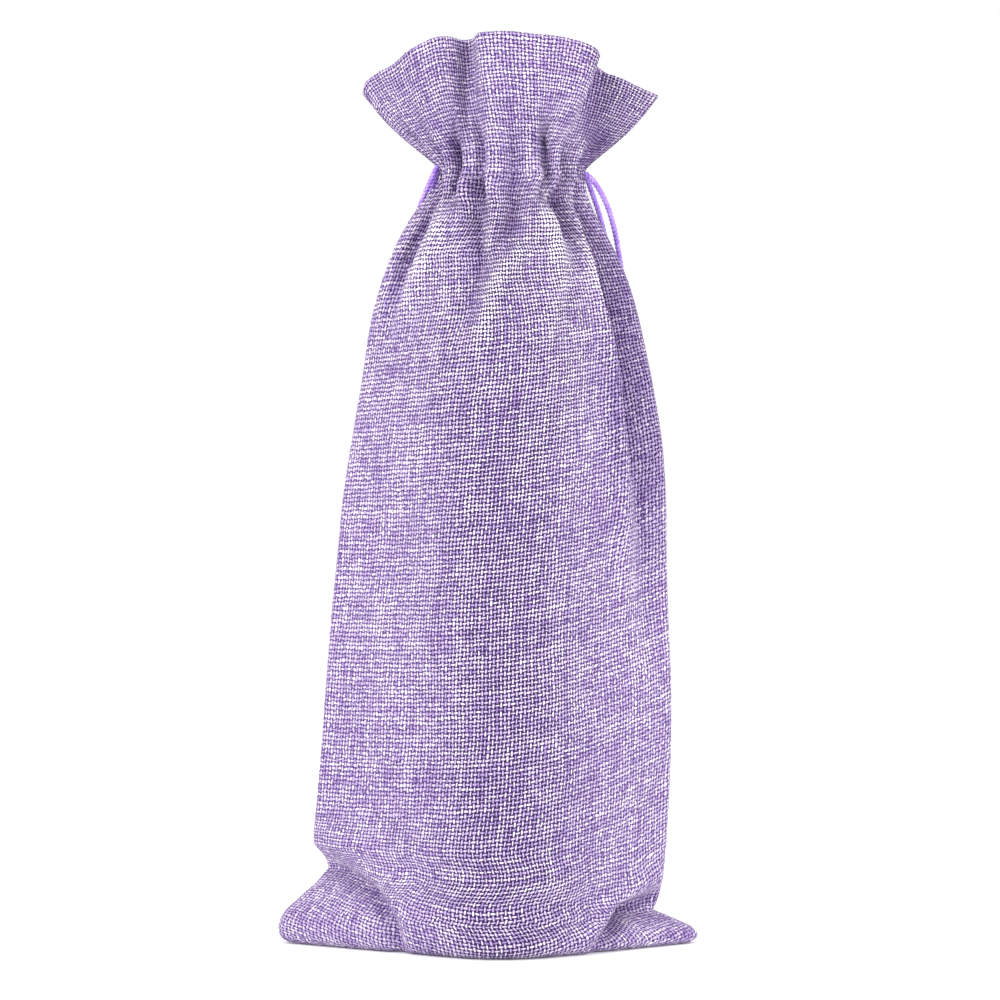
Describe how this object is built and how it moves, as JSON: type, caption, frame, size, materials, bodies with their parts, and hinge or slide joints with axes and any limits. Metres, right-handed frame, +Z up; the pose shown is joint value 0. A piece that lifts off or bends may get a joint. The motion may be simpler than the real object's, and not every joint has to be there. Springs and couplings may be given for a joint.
{
  "type": "wine bottle gift bag",
  "caption": "Drawstring gift bag of coarse lilac woven cloth, standing open inside as round a wine bottle, with a gathered neck and a frilled top.",
  "frame": {"origin": "middle of the base on the surface that the bag stands on, halfway between the tips of its two bottom corners", "axes": "+Z up through the neck, front towards -Y, +X to the right as seen from the front"},
  "size_m": [0.144, 0.076, 0.315],
  "materials": {
    "lilac_weave": "matte",
    "seam_allowance": "matte",
    "sewing_thread": "satin",
    "violet_cord": "satin"
  },
  "bodies": {
    "bag": {"front_panel": "lilac_weave", "back_panel": "lilac_weave", "front_casing": "lilac_weave", "back_casing": "lilac_weave", "left_side_seam": "seam_allowance", "right_side_seam": "seam_allowance", "bottom_seam": "seam_allowance", "left_drawstring_loop": "violet_cord", "right_drawstring_loop": "violet_cord", "front_upper_stitching": "sewing_thread", "front_lower_stitching": "sewing_thread", "back_upper_stitching": "sewing_thread", "back_lower_stitching": "sewing_thread"},
    "front_frill": {"front_heading": "lilac_weave"},
    "back_frill": {"back_heading": "lilac_weave"},
    "left_drawstring": {"left_drawstring_front_strand": "violet_cord", "left_drawstring_back_strand": "violet_cord", "left_knot": "violet_cord", "left_drawstring_frayed_ends": "violet_cord"},
    "right_drawstring": {"right_drawstring_front_strand": "violet_cord", "right_drawstring_back_strand": "violet_cord", "right_knot": "violet_cord", "right_drawstring_frayed_ends": "violet_cord"}
  },
  "joints": [
    {"name": "front_frill_bend", "type": "hinge", "parent": "bag", "child": "front_frill", "pos_m": [0.0082, -0.0205, 0.275], "axis": [1, 0, 0], "range_deg": [0, 25], "stiffness_Nm_per_rad": 0.004},
    {"name": "back_frill_bend", "type": "hinge", "parent": "bag", "child": "back_frill", "pos_m": [0.0082, 0.0205, 0.275], "axis": [-1, 0, 0], "range_deg": [0, 25], "stiffness_Nm_per_rad": 0.004},
    {"name": "left_drawstring_pull", "type": "slide", "parent": "bag", "child": "left_drawstring", "axis": [-1, 0, 0], "range_m": [0, 0.025]},
    {"name": "right_drawstring_pull", "type": "slide", "parent": "bag", "child": "right_drawstring", "axis": [1, 0, 0], "range_m": [0, 0.025]}
  ]
}
